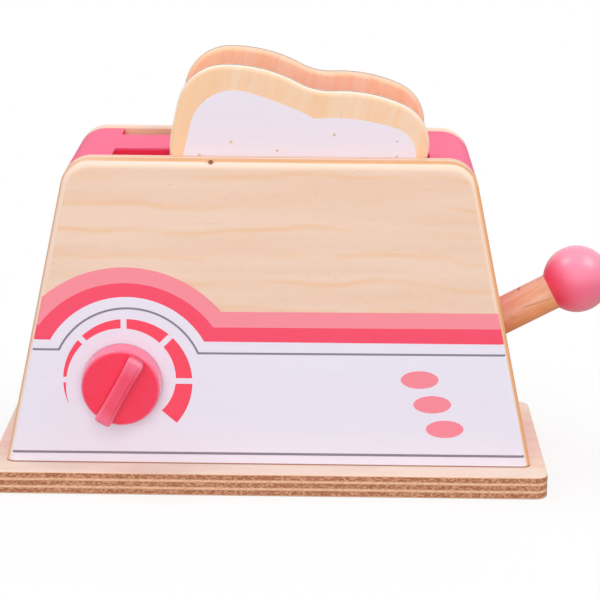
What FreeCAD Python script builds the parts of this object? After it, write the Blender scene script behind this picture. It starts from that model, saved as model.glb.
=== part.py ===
import FreeCAD, Part
import math
import os

# Wooden toy toaster.  Two plywood panels, painted side walls and a painted top
# board make a tapered case on a plywood base.  A see-saw lever inside lifts two
# slices of toast when the ball outside is pressed down, and a moulded dial
# turns on the front.
#
# Frame: origin at the centre of the base board's underside, +X towards the
# lever's ball, -Y towards the dial, +Z up.  Millimetres and degrees.

V = FreeCAD.Vector
UP = V(0, 0, 1)
BACK = V(0, 1, 0)

# ---------------------------------------------------------------- base board
base_length = 217.2
base_depth = 92.0
base_thickness = 9.0
base_corner_radius = 5.0
base_edge_chamfer = 0.3

# ---------------------------------------------------------------------- case
panel_bottom_width = 205.5
panel_height = 121.0
panel_thickness = 9.0
panel_corner_radius = 12.0
front_edge_radius = 3.5
back_edge_radius = 1.5
side_slope = 12.0
case_depth = 70.0
wall_thickness = 9.0
top_board_thickness = 12.0

# --------------------------------------------------------------- toast slots
slot_length = 120.8
slot_centre_x = 0.35
slot_width = 13.0
slot_corner_radius = 1.5

# -------------------------------------------------------------------- slices
slice_right_half_width = 47.1
slice_left_half_width = 49.9
slice_height = 110.2
slice_thickness = 6.0
slice_waist = 3.0
slice_tilt = 12.6
slice_right_corner_radius = 16.5
slice_left_corner_radius = 18.5
slice_lobe_radius = 58.0
slice_dip_radius = 25.5
slice_dip_depth = 3.0
slice_neck_radius = 40.0
slice_neck_drop = 9.6
slice_foot_radius = 8.0
slice_edge_chamfer = 1.7

# --------------------------------------------------------------------- lever
pivot_x = 60.0
pivot_height = 43.1
rod_angle = 28.3
press_angle = 20.0
rod_diameter = 14.5
ball_diameter = 26.6
ball_reach = 69.8
tenon_diameter = 8.0
tenon_length = 12.0
rod_edge_chamfer = 0.6
rocker_thickness = 14.0
rocker_shoulder = 20.0
rocker_boss_radius = 11.0
rocker_socket_half_height = 10.0
rocker_tip_radius = 9.5
rocker_corner_radius = 3.0
lift_bar_x = -12.0
lift_bar_height = 46.6
lift_bar_diameter = 10.0
pin_diameter = 5.0
post_thickness = 8.0
post_foot_width = 26.0
post_head_radius = 9.0

# ---------------------------------------------------------------------- dial
dial_x = -56.5
dial_height = 42.4
dial_angle = 28.7
dial_diameter = 31.1
dial_depth = 8.4
dial_draft = 0.4
dial_wall = 1.8
dial_face_thickness = 2.2
dial_rim_chamfer = 0.8
dial_rib_thickness = 1.2
dial_rib_count = 6
grip_height = 6.8
grip_waist = 6.0
grip_end_width = 6.6
grip_end_inset = 1.2
grip_edge_chamfer = 1.0
stem_diameter = 10.0
washer_diameter = 15.0
washer_thickness = 1.0

# ----------------------------------------------------------------- fasteners
screw_shank_diameter = 3.2
screw_head_diameter = 6.8
screw_length = 20.0
dial_screw_diameter = 3.0
dial_screw_head_diameter = 7.0
dial_screw_head_height = 2.4
dial_screw_head_chamfer = 0.8
dial_screw_length = 13.0
dowel_diameter = 4.0
dowel_length = 13.0
dowel_rise = 5.0
dowel_spacing = 28.0
panel_screw_spacing_x = 130.0
post_screw_spacing_x = 15.0

# ---------------------------------------------------------------- clearances
running_clearance = 0.05
part_gap = 0.3
bar_end_gap = 0.5
rod_side_gap = 0.5
cheek_gap = 0.3

# ------------------------------------------------------------ derived places
z_floor = base_thickness
z_top = z_floor + panel_height
z_wall_top = z_top - top_board_thickness
slope = math.radians(side_slope)
half_bottom = panel_bottom_width / 2
front_face_y = -case_depth / 2
inner_half_depth = case_depth / 2 - panel_thickness
rail_half_width = inner_half_depth - slot_width
tilt = math.radians(slice_tilt)
rod_rest = math.radians(rod_angle)
rod_pressed = math.radians(rod_angle - press_angle)
pivot = V(pivot_x, 0, pivot_height)
rod_radius = rod_diameter / 2
ball_radius = ball_diameter / 2
ball_seat = math.sqrt(ball_radius ** 2 - rod_radius ** 2)
lift_bar_radius = lift_bar_diameter / 2


def half_width_at(z):
    """Half the case's width at a height."""
    return half_bottom - (z - z_floor) * math.tan(slope)


# ------------------------------------------------------------ shape helpers
def at(x, z, y=0.0):
    """A point given the way an outline in the XZ plane is read."""
    return V(x, y, z)


def line(a, b):
    """A straight edge."""
    return Part.LineSegment(a, b).toShape()


def arc(a, middle, b):
    """An arc edge through three points."""
    return Part.Arc(a, middle, b).toShape()


def arc_about(centre, radius, start, end):
    """An arc in the XZ plane between two angles, in radians from +X to +Z."""
    points = []
    for turn in (start, (start + end) / 2, end):
        points.append(centre + V(radius * math.cos(turn), 0, radius * math.sin(turn)))
    return arc(*points)


def outline(points):
    """A closed straight-edged wire."""
    return Part.makePolygon(points + [points[0]])


def slab(wire, y_low, y_high):
    """A plate from a wire drawn in the XZ plane at y = 0."""
    plate = Part.Face(wire).extrude(V(0, y_high - y_low, 0))
    plate.translate(V(0, y_low, 0))
    return plate


def box(low, high):
    """A box between two corners."""
    size = high - low
    return Part.makeBox(size.x, size.y, size.z, low)


def rod_along_y(x, z, radius, y_low, y_high):
    """A cylinder that runs front to back."""
    return Part.makeCylinder(radius, y_high - y_low, V(x, y_low, z), BACK)


def rounded(shape, radius, chosen):
    """Fillets the edges that the test picks out."""
    edges = [edge for edge in shape.Edges if chosen(edge)]
    return shape.makeFillet(radius, edges)


def chamfered(shape, size, chosen):
    """Bevels the edges that the test picks out."""
    edges = [edge for edge in shape.Edges if chosen(edge)]
    return shape.makeChamfer(size, edges)


def lies_on_y(edge, y):
    """Whether an edge lies in a plane across Y."""
    bounds = edge.BoundBox
    return abs(bounds.YMin - y) < 1e-6 and abs(bounds.YMax - y) < 1e-6


def link(a, radius_a, b, radius_b):
    """The wire round two circles, joined by their outer tangents."""
    between = b - a
    heading = math.atan2(between.z, between.x)
    lean = math.acos((radius_a - radius_b) / between.Length)
    full = 2 * math.pi
    near = arc_about(a, radius_a, heading + lean, heading - lean + full)
    far = arc_about(b, radius_b, heading - lean, heading + lean)
    near_start, near_end = near.Vertexes[0].Point, near.Vertexes[1].Point
    far_start, far_end = far.Vertexes[0].Point, far.Vertexes[1].Point
    return Part.Wire([near, line(near_end, far_start), far, line(far_end, near_start)])


# -------------------------------------------------------------- base and case
def make_base_board():
    board = box(V(-base_length / 2, -base_depth / 2, 0), V(base_length / 2, base_depth / 2, z_floor))
    board = rounded(board, base_corner_radius, lambda e: e.BoundBox.ZLength > base_thickness / 2)
    board = chamfered(board, base_edge_chamfer, lambda e: e.BoundBox.ZLength < base_thickness / 2)
    return board.cut(screws_at(floor_screw_spots() + post_screw_spots()))


def case_outline(z_low):
    """The tapered outline of the case above a height, with its rounded top corners."""
    half_low = half_width_at(z_low)
    half_top = half_width_at(z_top)
    reach = panel_corner_radius * math.tan((math.pi / 2 - slope) / 2)
    centre_x = half_top - reach
    centre_z = z_top - panel_corner_radius
    right_turn = arc_about(at(centre_x, centre_z), panel_corner_radius, slope, math.pi / 2)
    left_turn = arc_about(at(-centre_x, centre_z), panel_corner_radius, math.pi / 2, math.pi - slope)
    right_low, right_high = [v.Point for v in right_turn.Vertexes]
    left_high, left_low = [v.Point for v in left_turn.Vertexes]
    foot_right = at(half_low, z_low)
    foot_left = at(-half_low, z_low)
    return Part.Wire([
        line(foot_left, foot_right),
        line(foot_right, right_low),
        right_turn,
        line(right_high, left_high),
        left_turn,
        line(left_low, foot_left),
    ])


def make_panel(y_outer, y_inner, edge_radius):
    """One plywood panel, rounded round its outer face except along its foot."""
    panel = slab(case_outline(z_floor), min(y_outer, y_inner), max(y_outer, y_inner))
    panel = rounded(
        panel, edge_radius,
        lambda e: lies_on_y(e, y_outer) and e.BoundBox.ZMax > z_floor + 1.0,
    )
    return panel.cut(screws_at(floor_screw_spots()))


def make_front_panel():
    bore_radius = stem_diameter / 2 + running_clearance
    bore = rod_along_y(dial_x, dial_height, bore_radius, front_face_y - 1, -inner_half_depth + 1)
    return make_panel(front_face_y, -inner_half_depth, front_edge_radius).cut(bore)


def make_back_panel():
    return make_panel(-front_face_y, inner_half_depth, back_edge_radius)


def wall_wire(side):
    """The profile of one side wall; side is 1 for the right and -1 for the left."""
    across = wall_thickness / math.cos(slope)
    low = half_width_at(z_floor)
    high = half_width_at(z_wall_top)
    return outline([
        at(side * low, z_floor),
        at(side * high, z_wall_top),
        at(side * (high - across), z_wall_top),
        at(side * (low - across), z_floor),
    ])


def make_wall(side):
    wall = slab(wall_wire(side), -inner_half_depth, inner_half_depth)
    return wall.cut(make_case_dowels())


def rod_edge_height(angle, side, depth):
    """Where the rod's upper (1) or lower (-1) edge crosses the right wall.

    The height is measured up the wall's slope from its outer foot, on the
    plane at the given depth under the outer face.
    """
    foot = at(half_bottom, z_floor)
    up_slope = V(-math.sin(slope), 0, math.cos(slope))
    outward = V(math.cos(slope), 0, math.sin(slope))
    along = V(math.cos(angle), 0, math.sin(angle))
    edge = pivot + V(-math.sin(angle), 0, math.cos(angle)) * (side * rod_radius)
    distance = (-depth - (edge - foot).dot(outward)) / along.dot(outward)
    return (edge + along * distance - foot).dot(up_slope)


def lever_slot():
    """The cutter for the lever's slot, square to the right wall."""
    half = rod_radius + rod_side_gap
    depths = (0, wall_thickness)
    high = max(rod_edge_height(rod_rest, 1, depth) for depth in depths) + part_gap
    low = min(rod_edge_height(rod_pressed, -1, depth) for depth in depths) - part_gap
    length = 3 * wall_thickness
    top_end = Part.makeCylinder(half, length, V(-length / 2, 0, high - half), V(1, 0, 0))
    low_end = Part.makeCylinder(half, length, V(-length / 2, 0, low + half), V(1, 0, 0))
    middle = box(V(-length / 2, -half, low + half), V(length / 2, half, high - half))
    cutter = middle.fuse([top_end, low_end]).removeSplitter()
    cutter.rotate(V(0, 0, 0), BACK, -side_slope)
    cutter.translate(at(half_bottom, z_floor))
    return cutter


def make_right_wall():
    return make_wall(1).cut(lever_slot())


def make_top_board():
    board = slab(case_outline(z_wall_top), -inner_half_depth, inner_half_depth)
    for side in (-1, 1):
        y_rail = side * rail_half_width
        y_open = side * (inner_half_depth + slot_corner_radius * 2)
        slot = box(
            V(slot_centre_x - slot_length / 2, min(y_rail, y_open), z_wall_top - 1),
            V(slot_centre_x + slot_length / 2, max(y_rail, y_open), z_top + 1),
        )
        slot = rounded(slot, slot_corner_radius, lambda e: e.BoundBox.ZLength > top_board_thickness)
        board = board.cut(slot)
    return board.cut(make_case_dowels())


# -------------------------------------------------------------------- slices
def slice_lobe():
    """The centre of the right one of the two lobes at the top of an upright slice."""
    span = 2 * (slice_lobe_radius + slice_dip_radius) * slice_dip_depth - slice_dip_depth ** 2
    return at(math.sqrt(span), slice_height - slice_lobe_radius)


def slice_corner(half_width, radius):
    """The centre of a slice's upper corner, drawn as the right one."""
    lobe = slice_lobe()
    x = half_width - radius
    drop = math.sqrt((slice_lobe_radius - radius) ** 2 - (x - lobe.x) ** 2)
    return at(x, lobe.z + drop)


def slice_side(half_width, radius):
    """The edges of one side of an upright slice, drawn as the right one."""
    lobe = slice_lobe()
    corner = slice_corner(half_width, radius)
    crown_turn = math.atan2(corner.z - lobe.z, corner.x - lobe.x)
    dip_z = slice_height - slice_dip_depth + slice_dip_radius
    dip_turn = math.atan2(dip_z - lobe.z, -lobe.x)
    neck_turn = math.acos(1 - slice_waist / 2 / slice_neck_radius)
    neck_high = corner.z - slice_neck_drop
    neck_low = neck_high - 2 * slice_neck_radius * math.sin(neck_turn)
    body_half = half_width - slice_waist
    crown_neck = at(half_width - slice_neck_radius, neck_high)
    body_neck = at(body_half + slice_neck_radius, neck_low)
    foot = at(body_half - slice_foot_radius, slice_foot_radius)
    foot_turn = arc_about(foot, slice_foot_radius, -math.pi / 2, 0)
    body_turn = arc_about(body_neck, slice_neck_radius, math.pi, math.pi - neck_turn)
    return [
        line(at(0, 0), foot_turn.Vertexes[0].Point),
        foot_turn,
        line(foot_turn.Vertexes[1].Point, body_turn.Vertexes[0].Point),
        body_turn,
        arc_about(crown_neck, slice_neck_radius, -neck_turn, 0),
        line(at(half_width, neck_high), at(half_width, corner.z)),
        arc_about(corner, radius, 0, crown_turn),
        arc_about(lobe, slice_lobe_radius, crown_turn, dip_turn),
        arc_about(at(0, dip_z), slice_dip_radius, dip_turn - math.pi, -math.pi / 2),
    ]


def slice_wire():
    """The outline of an upright slice, its foot centred on the origin."""
    right = slice_side(slice_right_half_width, slice_right_corner_radius)
    left = slice_side(slice_left_half_width, slice_left_corner_radius)
    left = [edge.mirror(V(0, 0, 0), V(1, 0, 0)) for edge in left]
    return Part.Wire(Part.sortEdges(right + left)[0])


def slice_offset():
    """The shift that leans a tilted slice on the right end of its slot and on the lift bar."""
    corner = slice_corner(slice_right_half_width, slice_right_corner_radius)
    reach = corner.x * math.cos(tilt) + corner.z * math.sin(tilt) + slice_right_corner_radius
    x = slot_centre_x + slot_length / 2 - part_gap - reach
    bar = lift_bar_rest()
    rest = bar.z + (lift_bar_radius + part_gap) / math.cos(tilt)
    z = rest + (bar.x - x) * math.tan(tilt)
    return V(x, 0, z)


def make_slice(y_low):
    piece = slab(slice_wire(), y_low, y_low + slice_thickness)
    piece = chamfered(
        piece, slice_edge_chamfer,
        lambda e: lies_on_y(e, y_low) or lies_on_y(e, y_low + slice_thickness),
    )
    piece.rotate(V(0, 0, 0), BACK, slice_tilt)
    piece.translate(slice_offset())
    return piece


# --------------------------------------------------------------------- lever
def lift_bar_rest():
    """The lift bar's axis when the handle is up."""
    return at(lift_bar_x, lift_bar_height)


def along_rod(distance, side=0.0):
    """A point in the lever's plane, measured along and across the rod from the pivot."""
    along = V(math.cos(rod_rest), 0, math.sin(rod_rest))
    across = V(-math.sin(rod_rest), 0, math.cos(rod_rest))
    return pivot + along * distance + across * side


def place_on_rod(shape):
    """Turns a shape drawn along +X from the origin onto the rod's axis."""
    shape.rotate(V(0, 0, 0), BACK, -rod_angle)
    shape.translate(pivot)
    return shape


def make_lever_rod():
    shoulder_out = ball_reach - ball_seat
    tenon_radius = tenon_diameter / 2
    profile = outline([
        at(rocker_shoulder - tenon_length, 0),
        at(rocker_shoulder - tenon_length, tenon_radius),
        at(rocker_shoulder, tenon_radius),
        at(rocker_shoulder, rod_radius - rod_edge_chamfer),
        at(rocker_shoulder + rod_edge_chamfer, rod_radius),
        at(shoulder_out, rod_radius),
        at(shoulder_out, tenon_radius),
        at(shoulder_out + tenon_length, tenon_radius),
        at(shoulder_out + tenon_length, 0),
    ])
    return place_on_rod(Part.Face(profile).revolve(V(0, 0, 0), V(1, 0, 0), 360))


def make_lever_ball():
    """A turned ball with a flat seat for the rod and a socket for its tenon."""
    seat = ball_reach - ball_seat
    tenon_radius = tenon_diameter / 2
    seat_rim = at(seat, rod_radius)
    tip = at(ball_reach + ball_radius, 0)
    socket_end = seat + tenon_length
    profile = Part.Wire([
        arc(seat_rim, at(ball_reach, ball_radius), tip),
        line(tip, at(socket_end, 0)),
        line(at(socket_end, 0), at(socket_end, tenon_radius)),
        line(at(socket_end, tenon_radius), at(seat, tenon_radius)),
        line(at(seat, tenon_radius), seat_rim),
    ])
    return place_on_rod(Part.Face(profile).revolve(V(0, 0, 0), V(1, 0, 0), 360))


def make_rocker():
    bar = lift_bar_rest()
    half = rocker_socket_half_height
    side = rocker_thickness / 2
    arm = slab(link(pivot, rocker_boss_radius, bar, rocker_tip_radius), -side, side)
    socket_wire = outline([
        pivot,
        along_rod(0, -half),
        along_rod(rocker_shoulder, -half),
        along_rod(rocker_shoulder, half),
        along_rod(0, half),
    ])
    socket = slab(socket_wire, -side, side)
    corners = (along_rod(rocker_shoulder, -half), along_rod(rocker_shoulder, half))
    socket = rounded(
        socket, rocker_corner_radius,
        lambda e: any(abs(e.CenterOfMass.x - c.x) + abs(e.CenterOfMass.z - c.z) < 1e-6 for c in corners),
    )
    plate = arm.fuse(socket).removeSplitter()
    pin_hole_radius = pin_diameter / 2 + running_clearance
    pin_hole = rod_along_y(pivot.x, pivot.z, pin_hole_radius, -rocker_thickness, rocker_thickness)
    bar_hole = rod_along_y(bar.x, bar.z, lift_bar_radius, -rocker_thickness, rocker_thickness)
    tenon = Part.makeCylinder(
        tenon_diameter / 2, tenon_length + 1, V(rocker_shoulder - tenon_length, 0, 0), V(1, 0, 0),
    )
    return plate.cut(Part.makeCompound([pin_hole, bar_hole])).cut(place_on_rod(tenon))


def make_lift_bar():
    bar = lift_bar_rest()
    half = inner_half_depth - bar_end_gap
    return rod_along_y(bar.x, bar.z, lift_bar_radius, -half, half)


def cheek_inner_y():
    """How far each pivot post stands from the mid plane."""
    return rocker_thickness / 2 + cheek_gap


def make_pivot_pin():
    half = cheek_inner_y() + post_thickness
    return rod_along_y(pivot.x, pivot.z, pin_diameter / 2, -half, half)


def make_pivot_post(side):
    """A tombstone-shaped plywood cheek that carries one end of the pin."""
    half = post_foot_width / 2
    rise = pivot.z - z_floor
    contact = math.acos(post_head_radius / math.hypot(half, rise)) - math.atan2(rise, half)
    head = arc_about(pivot, post_head_radius, contact, math.pi - contact)
    right_tip, left_tip = [v.Point for v in head.Vertexes]
    right_toe = at(pivot.x + half, z_floor)
    left_toe = at(pivot.x - half, z_floor)
    wire = Part.Wire([
        line(left_toe, right_toe),
        line(right_toe, right_tip),
        head,
        line(left_tip, left_toe),
    ])
    y_near = side * cheek_inner_y()
    y_far = side * (cheek_inner_y() + post_thickness)
    post = slab(wire, min(y_near, y_far), max(y_near, y_far))
    hole = rod_along_y(pivot.x, pivot.z, pin_diameter / 2, -case_depth, case_depth)
    return post.cut(hole).cut(screws_at(post_screw_spots()))


# ---------------------------------------------------------------------- dial
def on_dial(shape):
    """Moves a shape drawn about the Y axis, with the panel's face at y = 0, onto the dial."""
    shape.rotate(V(0, 0, 0), BACK, dial_angle)
    shape.translate(V(dial_x, front_face_y, dial_height))
    return shape


def frustum(radius_back, radius_front, y_back, y_front):
    """A round body along Y that narrows towards the front."""
    return Part.makeCone(radius_back, radius_front, y_back - y_front, V(0, y_back, 0), V(0, -1, 0))


def make_grip():
    """The grip bar: waisted sides, round ends just inside the rim, bevelled crest."""
    reach = dial_diameter / 2 - grip_end_inset
    end = grip_end_width / 2
    waist = grip_waist / 2
    tip = math.sqrt(reach ** 2 - end ** 2)
    wire = Part.Wire([
        arc(at(end, -tip), at(waist, 0), at(end, tip)),
        arc(at(end, tip), at(0, reach), at(-end, tip)),
        arc(at(-end, tip), at(-waist, 0), at(-end, -tip)),
        arc(at(-end, -tip), at(0, -reach), at(end, -tip)),
    ])
    y_crest = -dial_depth - grip_height
    bar = slab(wire, y_crest, dial_face_thickness / 2 - dial_depth)
    return chamfered(bar, grip_edge_chamfer, lambda e: lies_on_y(e, y_crest))


def make_dial_knob():
    """A moulded cup with a grip bar in front and a stem and ribs behind."""
    half = dial_diameter / 2
    y_back = -part_gap
    y_face = -dial_depth
    y_ceiling = y_face + dial_face_thickness
    cup = frustum(half, half - dial_draft, y_back, y_face)
    cup = chamfered(cup, dial_rim_chamfer, lambda e: lies_on_y(e, y_face))
    cavity = rod_along_y(0, 0, half - dial_wall, y_ceiling, y_back)
    stem_end = panel_thickness + part_gap
    stem = rod_along_y(0, 0, stem_diameter / 2, y_ceiling - 0.5, stem_end)
    rib_low = V(0, y_ceiling - 0.5, -dial_rib_thickness / 2)
    rib_high = V(half - dial_wall / 2, y_back - 1, dial_rib_thickness / 2)
    ribs = []
    for index in range(dial_rib_count):
        rib = box(rib_low, rib_high)
        rib.rotate(V(0, 0, 0), BACK, index * 360.0 / dial_rib_count)
        ribs.append(rib)
    pilot_end = stem_end + washer_thickness - dial_screw_length
    pilot = rod_along_y(0, 0, dial_screw_diameter / 2, pilot_end, stem_end + 1)
    knob = cup.cut(cavity).fuse(ribs + [stem, make_grip()]).removeSplitter().cut(pilot)
    return on_dial(knob)


def make_dial_washer():
    y_near = panel_thickness + part_gap
    ring = rod_along_y(0, 0, washer_diameter / 2, y_near, y_near + washer_thickness)
    hole = rod_along_y(0, 0, dial_screw_diameter / 2, y_near - 1, y_near + washer_thickness + 1)
    return on_dial(ring.cut(hole))


def make_dial_screw():
    y_seat = panel_thickness + part_gap + washer_thickness
    shank = rod_along_y(0, 0, dial_screw_diameter / 2, y_seat - dial_screw_length, y_seat)
    head = rod_along_y(0, 0, dial_screw_head_diameter / 2, y_seat, y_seat + dial_screw_head_height)
    head = chamfered(head, dial_screw_head_chamfer, lambda e: lies_on_y(e, y_seat + dial_screw_head_height))
    return on_dial(head.fuse(shank).removeSplitter())


# ----------------------------------------------------------------- fasteners
def screws_at(spots):
    """Countersunk wood screws, driven up from the underside of the base.

    The same bodies cut their own holes in the boards.
    """
    head = screw_head_diameter / 2
    shank = screw_shank_diameter / 2
    profile = outline([
        V(0, 0, 0),
        V(head, 0, 0),
        V(shank, 0, head - shank),
        V(shank, 0, screw_length),
        V(0, 0, screw_length),
    ])
    screws = []
    for x, y in spots:
        screw = Part.Face(profile).revolve(V(0, 0, 0), UP, 360)
        screw.translate(V(x, y, 0))
        screws.append(screw)
    return Part.makeCompound(screws)


def floor_screw_spots():
    """Where screws go up into the foot of each panel."""
    panel_y = inner_half_depth + panel_thickness / 2
    spots = []
    for side in (-1, 1):
        for end in (-1, 1):
            spots.append((end * panel_screw_spacing_x / 2, side * panel_y))
    return spots


def post_screw_spots():
    """Where screws go up into the foot of each pivot post."""
    post_y = cheek_inner_y() + post_thickness / 2
    spots = []
    for side in (-1, 1):
        for end in (-1, 1):
            spots.append((pivot.x + end * post_screw_spacing_x / 2, side * post_y))
    return spots


def make_case_dowels():
    """Blind dowels that join the top board to the side walls."""
    high = z_wall_top + dowel_rise
    low = high - dowel_length
    inner_x = half_width_at(low) - wall_thickness / math.cos(slope)
    x = (inner_x + half_width_at(high)) / 2
    dowels = []
    for side in (-1, 1):
        for end in (-1, 1):
            spot = V(side * x, end * dowel_spacing / 2, low)
            dowels.append(Part.makeCylinder(dowel_diameter / 2, dowel_length, spot, UP))
    return Part.makeCompound(dowels)


# ---------------------------------------------------------------------- parts
def build_nodes():
    """Every sub-part by its node's name."""
    front_slice_y = -inner_half_depth + part_gap
    rear_slice_y = inner_half_depth - part_gap - slice_thickness
    return {
        "base_board": make_base_board(),
        "front_panel": make_front_panel(),
        "back_panel": make_back_panel(),
        "left_wall": make_wall(-1),
        "right_wall": make_right_wall(),
        "top_board": make_top_board(),
        "case_dowels": make_case_dowels(),
        "floor_screws": screws_at(floor_screw_spots()),
        "post_screws": screws_at(post_screw_spots()),
        "front_pivot_post": make_pivot_post(-1),
        "rear_pivot_post": make_pivot_post(1),
        "pivot_pin": make_pivot_pin(),
        "rocker": make_rocker(),
        "lift_bar": make_lift_bar(),
        "lever_rod": make_lever_rod(),
        "lever_ball": make_lever_ball(),
        "front_slice": make_slice(front_slice_y),
        "rear_slice": make_slice(rear_slice_y),
        "dial_knob": make_dial_knob(),
        "dial_washer": make_dial_washer(),
        "dial_screw": make_dial_screw(),
    }


def lift_ratio():
    """Millimetres that the slices rise per radian of the lever's turn."""
    bar = lift_bar_rest() - pivot
    turn = math.radians(press_angle)
    raised_x = bar.x * math.cos(turn) + bar.z * math.sin(turn)
    raised_z = bar.z * math.cos(turn) - bar.x * math.sin(turn)
    rise = raised_z - bar.z + (raised_x - bar.x) * math.tan(tilt)
    return rise / turn


os.makedirs("parts", exist_ok=True)
for node, shape in build_nodes().items():
    print(node, "valid", shape.isValid(), "solids", len(shape.Solids), "volume", round(shape.Volume, 1))
    shape.exportStep("parts/" + node + ".step")
print("slices rise", round(lift_ratio(), 3), "mm per radian")
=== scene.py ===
"""The looks of a wooden toy toaster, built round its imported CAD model.

The boards, the lever and the fasteners are the CAD's own solids in procedural
materials.  Made here: the printed bands, lines, dial scale and ovals of the front
panel, two slices of toast with softly rounded edges and a white patch with crumbs on
each face, and a dial knob with rounded edges.  Lengths are written in millimetres, the
lights' in metres, and angles in degrees where math.radians doesn't stand beside them.
The row frame's origin is the middle of the base board's underside, -Y is the front and
+X is the ball's side.
"""

import math
import random

import bmesh
import bpy
from mathutils import Matrix, Quaternion, Vector


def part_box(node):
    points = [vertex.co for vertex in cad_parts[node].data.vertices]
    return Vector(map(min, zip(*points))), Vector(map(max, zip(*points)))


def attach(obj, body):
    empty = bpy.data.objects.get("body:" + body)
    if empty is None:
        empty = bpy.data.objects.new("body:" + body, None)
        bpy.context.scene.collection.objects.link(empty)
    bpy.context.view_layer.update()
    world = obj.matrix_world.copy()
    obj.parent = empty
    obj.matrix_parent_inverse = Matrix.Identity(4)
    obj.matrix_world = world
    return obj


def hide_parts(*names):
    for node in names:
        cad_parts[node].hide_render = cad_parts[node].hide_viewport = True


MM = 0.001

# -------------------------------------------------- camera
CAMERA_PLACE = (21.7, -792.35, 291.86)
CAMERA_YAW = -0.735
CAMERA_TILT = 15.902
CAMERA_ROLL = 0.443
CAMERA_LENS = 123.66

# -------------------------------------------------- boards
# A pair of boards has its outer faces at y = -FACE and y = FACE.
BASE_THICKNESS = 9.0
PANEL_FACE = 35.0
PANEL_THICKNESS = 9.0
PANEL_SLOT_Z = 117.0
SLICE_FACE = 25.7
SLICE_THICKNESS = 6.0
POST_FACE = 15.3
POST_THICKNESS = 8.0
ROCKER_FACE = 7.0
ROCKER_THICKNESS = 14.0
SLOT_TOP_Z = 129.8
SLOT_HALF_LENGTH = 63.0
FACE_VENEER = 0.4
END_TO_LONG_PLY = 2.05
LEVEL = (1, 0, 0)
UPRIGHT = (0, 0, 1)
INWARD = (0, 1, 0)

# The panels' veneer: soft level bands and a knot by the top edge.
BAND_SPACING = 10.7
BAND_START = 76.3
BAND_SWAY = 3.4
BAND_HALF_WIDTH = 1.8
BAND_WAVE = (45.0, 40.0, 60.0)
KNOT_PLACE = (-22.0, -33.7, 129.2)

# --------------------------------------------- front panel
PANEL_HALF_FOOT = 102.75
PANEL_FOOT = BASE_THICKNESS
PANEL_ROUNDING = 3.5
SIDE_SLOPE = math.radians(12.0)
PRINT_MARGIN = 1.6
PRINT_FOOT = 9.5
PRINT_FOOT_ROUNDING = 1.1
PRINT_RISE = 0.05
PRINT_FAR_X = PANEL_HALF_FOOT + 20
ARCH_STEPS = 60

# Each edge between two printed bands runs over the dial in an arch: the arch's centre
# (x, z) and radius, the heights at its left and right foot and at the panel's right side.
BAND_TOP = (-54.9, 40.3, 47.9, 71.2, 71.05, 71.6)
PINK_TO_RED = (-54.85, 40.6, 41.4, 64.95, 64.75, 65.35)
RED_TO_WHITE = (-54.45, 42.6, 33.9, 59.1, 59.0, 59.2)
LINE_TOP = (-54.15, 42.5, 29.9, 55.6, 54.7, 55.35)
LINE_WIDTH = 0.8
LOW_LINE_WIDTH = 1.0
LINE_MARGIN = 1.9
LOW_LINE = (13.25, 13.65)

# The dial's scale: an arc that swells clockwise, cut by bars that point at the hub.  Its
# radius shrinks past an angle, and its widths stand beside their angles.
SCALE_CENTRE = (-54.65, 42.45)
SCALE_RADIUS = 25.25
SCALE_HEAD = -41.0
SCALE_TAIL = 203.0
SCALE_WIDTHS = ((SCALE_HEAD, 7.65), (180.0, 1.15), (SCALE_TAIL, 0.0))
SCALE_SHRINK = 0.0067
SCALE_SHRINK_FROM = 110.0
SCALE_HUB = (-55.7, 43.0)
SCALE_BARS = (0.0, 45.0, 90.0, 135.0, 180.0)
SCALE_BAR_WIDTH = 2.3

OVAL_PLACES = ((58.4, 44.5), (63.5, 34.5), (68.6, 24.5))
OVAL_HALF_WIDTH = 7.3
OVAL_HALF_HEIGHT = 3.55

# ----------------------------------------- slices of toast
SLICE_TILT = math.radians(12.6)
SLICE_FOOT = (-6.165, 50.726)
SLICE_HEIGHT = 110.2
# One side of a slice: its half width and the radius of its top corner.
SLICE_RIGHT = (47.1, 16.5)
SLICE_LEFT = (49.9, 18.5)
SLICE_WAIST = 3.0
SLICE_LOBE_RADIUS = 58.0
SLICE_DIP_RADIUS = 25.5
SLICE_DIP_DEPTH = 3.0
SLICE_NECK_RADIUS = 40.0
SLICE_NECK_DROP = 9.6
SLICE_FOOT_RADIUS = 8.0
SLICE_ROUNDING = 1.9

# One side of the white patch: its half width and corner radius, the centre of the long
# arc on top and its radius, and the half width lower down.
PATCH_LEFT = (43.3, 16.9, (30.5, -28.9), 129.7, 43.7)
PATCH_RIGHT = (42.8, 10.65, (25.6, 24.4), 76.0, 39.5)
PATCH_NOTCH_X = 1.9
PATCH_WAIST_Z = 60.0
PATCH_FOOT_Z = 7.0
PATCH_FOOT_RADIUS = 8.0
CRUMB_RADIUS = 0.55
CRUMBS = ((-26.9, 80.7), (-9.0, 81.4), (10.5, 92.3), (34.4, 95.3), (-37.4, 73.0), (35.6, 89.6))
CRUMB_LAYER = 1.4
HIDDEN_CRUMBS = 14
HIDDEN_CRUMB_X = (-36, 36)
HIDDEN_CRUMB_Z = (14, 68)

# ---------------------------------------------------- dial
DIAL_PLACE = (-56.5, -PANEL_FACE, 42.4)
DIAL_ANGLE = 28.7
DIAL_RADIUS = 15.55
DIAL_GAP = 0.3
DIAL_DEPTH = 8.4
DIAL_DRAFT = 0.4
DIAL_RIM = 1.3
DIAL_WALL = 1.8
DIAL_FACE = 2.2
STEM_RADIUS = 5.0
STEM_LENGTH = 9.3
GRIP_HEIGHT = 6.8
GRIP_HALF_WAIST = 3.0
GRIP_HALF_END = 3.3
GRIP_REACH = 14.35
GRIP_CORNER = 1.2
GRIP_ROUNDING = 1.4

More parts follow.
